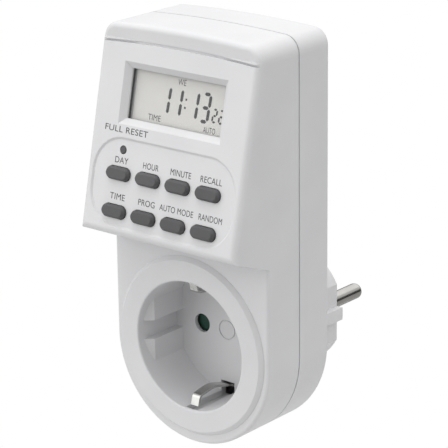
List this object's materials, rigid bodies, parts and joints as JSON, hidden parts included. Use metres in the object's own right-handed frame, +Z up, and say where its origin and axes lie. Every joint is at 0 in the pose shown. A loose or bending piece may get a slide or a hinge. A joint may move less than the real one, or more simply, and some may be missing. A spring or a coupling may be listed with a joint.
{
  "type": "plug-in programmable timer",
  "caption": "Plug-in weekly timer: sloped display and key panel above a recessed earthed socket, with a round two-pin plug on the back.",
  "frame": {"origin": "centre of the plug's pin-side face, midway between the two pins", "axes": "+Y along the plug pins into the wall, +Z up towards the display, +X to the right seen from the front"},
  "size_m": [0.057, 0.0825, 0.1229],
  "materials": {
    "casing_plastic": "fine satin moulded white plastic",
    "key_rubber": "dark grey silicone",
    "contact_carbon": "conductive carbon rubber",
    "clear_window": "clear acrylic",
    "lcd_glass": "reflective LCD with polariser",
    "holder_plastic": "plain moulded plastic",
    "board_laminate": "green epoxy laminate",
    "chip_resin": "black potting resin",
    "tinned_metal": "tinned or nickel plated",
    "pin_nickel": "nickel plated brass",
    "contact_brass": "plain brass",
    "screw_steel": "zinc plated steel",
    "shutter_plastic": "dark green plastic",
    "carrier_plastic": "grey heat-resistant plastic",
    "relay_plastic": "blue relay case",
    "capacitor_film": "yellow film capacitor case",
    "capacitor_can": "sleeved aluminium can",
    "varistor_coat": "blue epoxy coating",
    "component_body": "moulded component bodies",
    "resistor_coat": "beige resistor lacquer",
    "wire_brown": "brown wire insulation",
    "wire_blue": "blue wire insulation",
    "ribbon_grey": "grey flat cable"
  },
  "bodies": {
    "housing": {"backup_battery": "tinned_metal", "battery_tabs": "tinned_metal", "carrier_screws": "screw_steel", "casing_screws": "screw_steel", "clock_crystal": "tinned_metal", "contact_carrier": "carrier_plastic", "control_board": "board_laminate", "control_board_screws": "screw_steel", "display_window": "clear_window", "dropper_capacitor": "capacitor_film", "earth_bridge": "tinned_metal", "front_casing": "casing_plastic", "fuse": "component_body", "keypad_mat": "key_rubber", "lcd_cell": "lcd_glass", "lcd_contact_strips": "contact_carbon", "lcd_holder": "holder_plastic", "live_contact": "contact_brass", "live_plug_pin": "pin_nickel", "live_wire": "wire_brown", "lower_earth_strip": "tinned_metal", "neutral_contact": "contact_brass", "neutral_link": "contact_brass", "neutral_plug_pin": "pin_nickel", "neutral_wire": "wire_blue", "power_board": "board_laminate", "power_board_screws": "screw_steel", "rear_casing": "casing_plastic", "rectifier_diodes": "component_body", "relay": "relay_plastic", "resistors": "resistor_coat", "ribbon_cable": "ribbon_grey", "shutter_spring": "tinned_metal", "smoothing_capacitor": "capacitor_can", "surge_varistor": "varistor_coat", "switched_live_wire": "wire_brown", "timer_chip": "chip_resin", "upper_earth_strip": "tinned_metal"},
    "day_key": {"day_key": "key_rubber", "day_key_contact": "contact_carbon"},
    "hour_key": {"hour_key": "key_rubber", "hour_key_contact": "contact_carbon"},
    "minute_key": {"minute_key": "key_rubber", "minute_key_contact": "contact_carbon"},
    "recall_key": {"recall_key": "key_rubber", "recall_key_contact": "contact_carbon"},
    "clock_key": {"clock_key": "key_rubber", "clock_key_contact": "contact_carbon"},
    "program_key": {"program_key": "key_rubber", "program_key_contact": "contact_carbon"},
    "mode_key": {"mode_key": "key_rubber", "mode_key_contact": "contact_carbon"},
    "random_key": {"random_key": "key_rubber", "random_key_contact": "contact_carbon"},
    "reset_key": {"reset_key": "key_rubber", "reset_key_contact": "contact_carbon"},
    "shutter": {"shutter": "shutter_plastic"}
  },
  "joints": [
    {"name": "day_key_press", "type": "slide", "parent": "housing", "child": "day_key", "axis": [0, 0.9767, -0.2147], "range_m": [0, 0.001], "stiffness_N_per_m": 600, "springref_m": -0.0005},
    {"name": "hour_key_press", "type": "slide", "parent": "housing", "child": "hour_key", "axis": [0, 0.9767, -0.2147], "range_m": [0, 0.001], "stiffness_N_per_m": 600, "springref_m": -0.0005},
    {"name": "minute_key_press", "type": "slide", "parent": "housing", "child": "minute_key", "axis": [0, 0.9767, -0.2147], "range_m": [0, 0.001], "stiffness_N_per_m": 600, "springref_m": -0.0005},
    {"name": "recall_key_press", "type": "slide", "parent": "housing", "child": "recall_key", "axis": [0, 0.9767, -0.2147], "range_m": [0, 0.001], "stiffness_N_per_m": 600, "springref_m": -0.0005},
    {"name": "clock_key_press", "type": "slide", "parent": "housing", "child": "clock_key", "axis": [0, 0.9767, -0.2147], "range_m": [0, 0.001], "stiffness_N_per_m": 600, "springref_m": -0.0005},
    {"name": "program_key_press", "type": "slide", "parent": "housing", "child": "program_key", "axis": [0, 0.9767, -0.2147], "range_m": [0, 0.001], "stiffness_N_per_m": 600, "springref_m": -0.0005},
    {"name": "mode_key_press", "type": "slide", "parent": "housing", "child": "mode_key", "axis": [0, 0.9767, -0.2147], "range_m": [0, 0.001], "stiffness_N_per_m": 600, "springref_m": -0.0005},
    {"name": "random_key_press", "type": "slide", "parent": "housing", "child": "random_key", "axis": [0, 0.9767, -0.2147], "range_m": [0, 0.001], "stiffness_N_per_m": 600, "springref_m": -0.0005},
    {"name": "reset_key_press", "type": "slide", "parent": "housing", "child": "reset_key", "axis": [0, 0.9767, -0.2147], "range_m": [0, 0.001], "stiffness_N_per_m": 600, "springref_m": -0.0005},
    {"name": "shutter_swing", "type": "hinge", "parent": "housing", "child": "shutter", "pos_m": [0, -0.0294, 0], "axis": [0, 1, 0], "range_deg": [0, 45], "stiffness_Nm_per_rad": 0.004, "springref_deg": -8.59}
  ]
}
